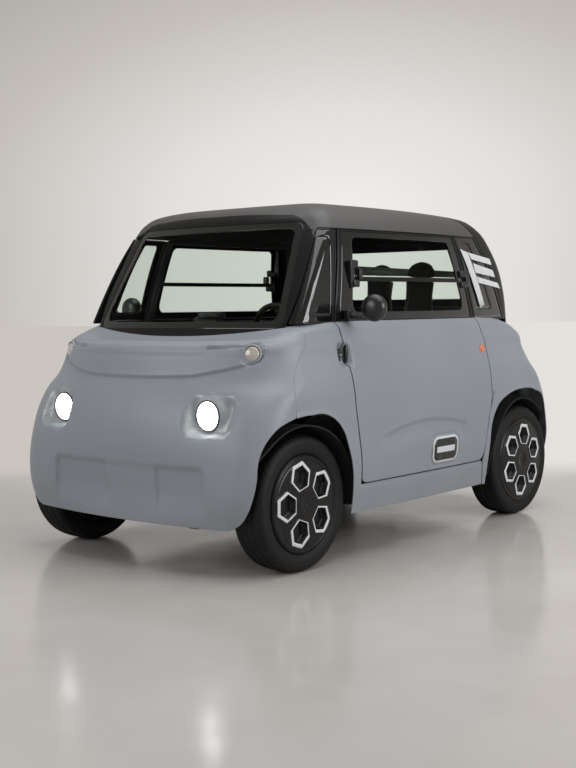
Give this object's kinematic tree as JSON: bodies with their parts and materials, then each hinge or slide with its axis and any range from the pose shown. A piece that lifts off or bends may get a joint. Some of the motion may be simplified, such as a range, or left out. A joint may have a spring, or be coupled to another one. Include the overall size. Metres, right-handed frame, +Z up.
{
  "type": "two-seat electric microcar",
  "caption": "Small box-shaped two-seat electric car with rounded nose and tail, two doors hung on opposite edges and full wheel covers.",
  "frame": {"origin": "on the ground at mid-length on the centre plane", "axes": "+Z up, the nose faces -Y, the car's left side is +X"},
  "size_m": [1.62, 2.4164, 1.476],
  "materials": {
    "body_plastic": "mass-coloured grey-blue moulding, fine matt grain",
    "roof_plastic": "matt warm dark grey",
    "black_plastic": "satin black moulding",
    "glass": "clear, faint green tint",
    "lamp_lens": "clear polycarbonate",
    "tyre_rubber": "matt black rubber",
    "wheel_finish": "black with light hexagon outlines",
    "chassis_steel": "black dip paint",
    "seat_trim": "dark woven cover over a plastic shell",
    "machine_case": "cast casing"
  },
  "bodies": {
    "body": {"arch_liners": "black_plastic", "battery_block": "machine_case", "dashboard": "black_plastic", "door_jambs": "black_plastic", "floor_frame": "chassis_steel", "front_panel": "body_plastic", "front_quarter_panes": "glass", "front_suspension_arms": "chassis_steel", "headlamps": "lamp_lens", "indicators": "lamp_lens", "left_front_wing": "body_plastic", "left_rear_wing": "body_plastic", "left_seat": "seat_trim", "motor_block": "machine_case", "rear_axle": "chassis_steel", "rear_lamps": "lamp_lens", "rear_panel": "body_plastic", "rear_quarter_panes": "glass", "rear_window": "glass", "rear_window_frame": "black_plastic", "right_front_wing": "body_plastic", "right_rear_wing": "body_plastic", "right_seat": "seat_trim", "roof": "roof_plastic", "windscreen": "glass", "windscreen_frame": "black_plastic"},
    "left_door": {"left_door_skin": "body_plastic", "left_door_window_frame": "black_plastic", "left_door_panes": "glass", "left_mirror": "black_plastic"},
    "right_door": {"right_door_skin": "body_plastic", "right_door_window_frame": "black_plastic", "right_door_panes": "glass", "right_mirror": "black_plastic"},
    "steering_wheel": {"steering_wheel": "black_plastic"},
    "left_knuckle": {"left_knuckle": "chassis_steel"},
    "right_knuckle": {"right_knuckle": "chassis_steel"},
    "left_front_wheel": {"left_front_tyre": "tyre_rubber", "left_front_wheel": "wheel_finish"},
    "left_rear_wheel": {"left_rear_tyre": "tyre_rubber", "left_rear_wheel": "wheel_finish"},
    "right_front_wheel": {"right_front_tyre": "tyre_rubber", "right_front_wheel": "wheel_finish"},
    "right_rear_wheel": {"right_rear_tyre": "tyre_rubber", "right_rear_wheel": "wheel_finish"}
  },
  "joints": [
    {"name": "left_door_hinge", "type": "hinge", "parent": "body", "child": "left_door", "pos_m": [0.714, 0.482, 0.7], "axis": [0, 0, 1], "range_deg": [0, 70]},
    {"name": "right_door_hinge", "type": "hinge", "parent": "body", "child": "right_door", "pos_m": [-0.714, -0.482, 0.7], "axis": [0, 0, 1], "range_deg": [0, 70]},
    {"name": "steering_turn", "type": "hinge", "parent": "body", "child": "steering_wheel", "pos_m": [0.262, -0.455, 0.88], "axis": [0, 0.8829, 0.4695], "range_deg": [-360, 360]},
    {"name": "left_steer", "type": "hinge", "parent": "body", "child": "left_knuckle", "pos_m": [0.56, -0.84, 0.265], "axis": [0, 0, 1], "range_deg": [-30, 30]},
    {"name": "right_steer", "type": "hinge", "parent": "body", "child": "right_knuckle", "pos_m": [-0.56, -0.84, 0.265], "axis": [0, 0, 1], "range_deg": [-30, 30]},
    {"name": "left_front_roll", "type": "hinge", "parent": "left_knuckle", "child": "left_front_wheel", "pos_m": [0.58, -0.84, 0.265], "axis": [1, 0, 0], "continuous": true},
    {"name": "left_rear_roll", "type": "hinge", "parent": "body", "child": "left_rear_wheel", "pos_m": [0.58, 0.84, 0.265], "axis": [1, 0, 0], "continuous": true},
    {"name": "right_front_roll", "type": "hinge", "parent": "right_knuckle", "child": "right_front_wheel", "pos_m": [-0.58, -0.84, 0.265], "axis": [1, 0, 0], "continuous": true},
    {"name": "right_rear_roll", "type": "hinge", "parent": "body", "child": "right_rear_wheel", "pos_m": [-0.58, 0.84, 0.265], "axis": [1, 0, 0], "continuous": true}
  ],
  "couplings": [
    {"joint": "left_steer", "follows": "steering_turn", "ratio": 0.083333},
    {"joint": "right_steer", "follows": "steering_turn", "ratio": 0.083333}
  ]
}
